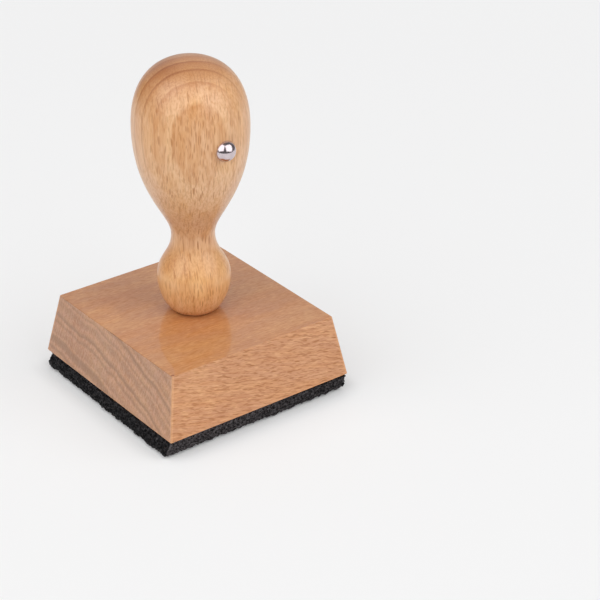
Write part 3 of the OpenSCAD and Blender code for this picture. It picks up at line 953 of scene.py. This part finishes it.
def spongeMaterial(name, look):
    material, tree, shader = newMaterial(name)
    coords = put(tree, "TexCoord").outputs
    point = inMillimetres(tree, coords)
    place, normal = split(tree, point), split(tree, coords["Normal"])
    cells = useGroup(tree, spongeGroup, {"Vector": point, "Cell": look["cell"]})
    frontSheen = times(
        tree, ramp(tree, normal["Y"], *look["frontSheenFacing"], 1.0, 0.0),
        ramp(tree, place["X"], *look["frontSheenWidth"], 1.0, look["rightShare"]),
        ramp(tree, noiseValue(tree, point, look["patchScale"]), *look["patchRange"], look["patchShare"], 1.0))
    wall = times(tree, cells["Wall"], blendValue(tree, frontSheen, look["sideGlintShare"], 1.0))
    edge = [minus(tree, calc(tree, "ABSOLUTE", place[axis]), half)
            for axis, half in zip("XY", look["mouldedHalf"])]
    moulded = calc(tree, "MAXIMUM", ramp(tree, normal["Z"], *look["mouldedFacing"]),
                   ramp(tree, place["Z"], *look["mouldedHeight"]))
    inside = ramp(tree, calc(tree, "MAXIMUM", *edge), 0.0, look["mouldedEdge"], 1.0, 0.0)
    moulded = times(tree, moulded, inside)
    printing = ramp(tree, place["Z"], *look["printHeight"])
    grain = noiseValue(tree, point, look["groundScale"], 4.0, 0.65)
    ground = blendColor(tree, ramp(tree, grain, *look["groundRange"]), look["ground"], look["groundDust"])
    color = layColors(tree, look["color"], [
        # painted sheen on the front, painted shade in the hollows, painted glints on the walls, then dust and
        # the moulded underside
        (frontSheen, look["frontSheenColor"]),
        (times(tree, cells["Hollow"], look["hollowAmount"]), look["hollowShade"]),
        (times(tree, wall, look["wallAmount"]), look["wall"]),
        (times(tree, cells["Dust"], look["dustAmount"]), look["dust"]),
        (moulded, blendColor(tree, printing, ground, look["printFace"])),
    ])
    rough = ramp(tree, cells["Wall"], 0.0, 1.0, look["roughness"], look["roughness"] - look["wallGloss"])
    rough = blendValue(tree, times(tree, moulded, printing), rough, look["printRoughness"])
    openCells = minus(tree, times(tree, cells["Wall"], look["wallHeight"]), cells["Hollow"])
    deep, shallow = look["groundHeight"], look["printFaceHeight"]
    flat = times(tree, grain, calc(tree, "MULTIPLY_ADD", printing, shallow - deep, deep))
    height = blendValue(tree, moulded, openCells, flat)
    setInputs(tree, shader, {
        "Base Color": color, "Roughness": rough, "Specular IOR Level": look["gloss"],
        "Normal": bumpNormal(tree, look["bump"], look["bumpDistance"], height)})
    return material


foam = makePiece("foam_sheet", makeSheet(sheetCut, foamLow.z, foamHigh.z, sheetCut["steps"]),
                 spongeMaterial("spongeRubber", foamLook), "die", ["foam_cushion"], 60)
rubberMaterial = spongeMaterial("dieRubber", rubberLook)
filmMaterial = spongeMaterial("adhesiveFilm", filmLook)
films = {"upper_film": ("block_film", "mount"), "lower_film": ("die_film", "die")}
for filmName, (filmNode, filmBody) in films.items():
    filmLow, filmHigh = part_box(filmNode)
    film = makeSheet(sheetCut, filmLow.z, filmHigh.z, sheetCut["filmSteps"],
                     ragged=False, inset=sheetCut["filmInset"])
    makePiece(filmName, film, filmMaterial, filmBody, [filmNode], 30)


pattern = {
    "middle": (-0.4, 0.6), "height": 0.8, "slope": 0.22, "sink": 0.12,
    "plateWidth": 59.8, "plateDepth": 60.7, "borderIn": 2.5, "lineWidth": 1.2,
    "ringRadius": 19.5, "starRadius": 15.0, "notchRadius": 6.5, "starPoints": 8, "dotRadius": 1.0,
    "ringSteps": 128, "eyeSteps": 64, "eyeDotSteps": 48, "dotSteps": 24, "cornerDotSteps": 32,
}


def addDot(bm, place, radius, steps):
    bmesh.ops.create_circle(
        bm, cap_ends=True, segments=steps, radius=radius, matrix=Matrix.Translation(place))


def drawPattern(look):
    # the printing faces, flat: border line, ring, star round its eye, and dots
    art = bmesh.new()
    line = look["lineWidth"] * mm
    ring, star, notch = (look[key] * mm for key in ("ringRadius", "starRadius", "notchRadius"))
    width, depth = ((look[key] - 2 * look["borderIn"]) * mm for key in ("plateWidth", "plateDepth"))
    corners = bmesh.ops.create_grid(art, x_segments=1, y_segments=1, size=0.5)["verts"]
    bmesh.ops.scale(art, vec=(width, depth, 1), verts=corners)
    inner = corners[0].link_faces[0]
    bmesh.ops.inset_region(art, faces=[inner], thickness=line, use_even_offset=True, use_boundary=True)
    bmesh.ops.delete(art, geom=[inner], context="FACES")
    ringEdges = circleEdges(art, ring, look["ringSteps"]) + circleEdges(art, ring - line, look["ringSteps"])
    bmesh.ops.bridge_loops(art, edges=ringEdges)
    points = 2 * look["starPoints"]
    starEdges = circleEdges(art, star, points)
    for vert in {v for e in starEdges for v in e.verts}:
        if round(math.atan2(vert.co.y, vert.co.x) / (math.tau / points)) % 2:
            vert.co *= notch / star
    eyeEdges = circleEdges(art, notch - 2 * line, look["eyeSteps"])
    bmesh.ops.triangle_fill(art, use_beauty=True, edges=starEdges + eyeEdges)
    addDot(art, Vector(), notch - 3 * line, look["eyeDotSteps"])
    way, dot = (star + ring - line) / 2, look["dotRadius"] * mm
    for i in range(look["starPoints"]):
        angle = (2 * i + 1) * math.pi / look["starPoints"]
        addDot(art, Vector((math.cos(angle), math.sin(angle), 0)) * way, dot, look["dotSteps"])
    corner = ring / math.sqrt(2)
    for x in (-1, 1):
        for y in (-1, 1):
            place = Vector((x * (corner + width / 2 - line) / 2, y * (corner + depth / 2 - line) / 2, 0))
            addDot(art, place, 2 * dot, look["cornerDotSteps"])
    return art


def growPattern(bm, look, rise):
    # the faces grow up into the plate and are wider at their root
    grown = bmesh.ops.extrude_face_region(bm, geom=bm.faces[:])["geom"]
    root = [g for g in grown if isinstance(g, bmesh.types.BMVert)]
    rootFaces = {g for g in grown if isinstance(g, bmesh.types.BMFace)}
    bmesh.ops.translate(bm, vec=(0, 0, rise), verts=root)
    bm.normal_update()
    moves = []
    for vert in root:
        out = sum((f.normal for f in vert.link_faces if f not in rootFaces), Vector())
        out.z = 0
        if out.length > 1e-6:
            moves.append((vert, out.normalized() * look["slope"] * mm))
    for vert, move in moves:
        vert.co += move


def makeDie(cut, look):
    bm = makeSheet(cut, dieLow.z + look["height"] * mm, dieHigh.z, cut["steps"], wave=cut["wave"])
    art = drawPattern(look)
    middle = Vector((*look["middle"], 0)) * mm
    bmesh.ops.translate(art, vec=middle + Vector((0, 0, dieLow.z)), verts=art.verts)
    faceOutwards(art)
    bmesh.ops.reverse_faces(art, faces=[f for f in art.faces if f.normal.z > 0])
    growPattern(art, look, (look["height"] + look["sink"]) * mm)
    faceOutwards(art)
    mesh = meshOf(art, "raised_pattern")
    bm.from_mesh(mesh)
    bpy.data.meshes.remove(mesh)
    return bm


makePiece("printing_die", makeDie(sheetCut, pattern), rubberMaterial, "die", ["rubber_die"], 60)

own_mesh(foam)
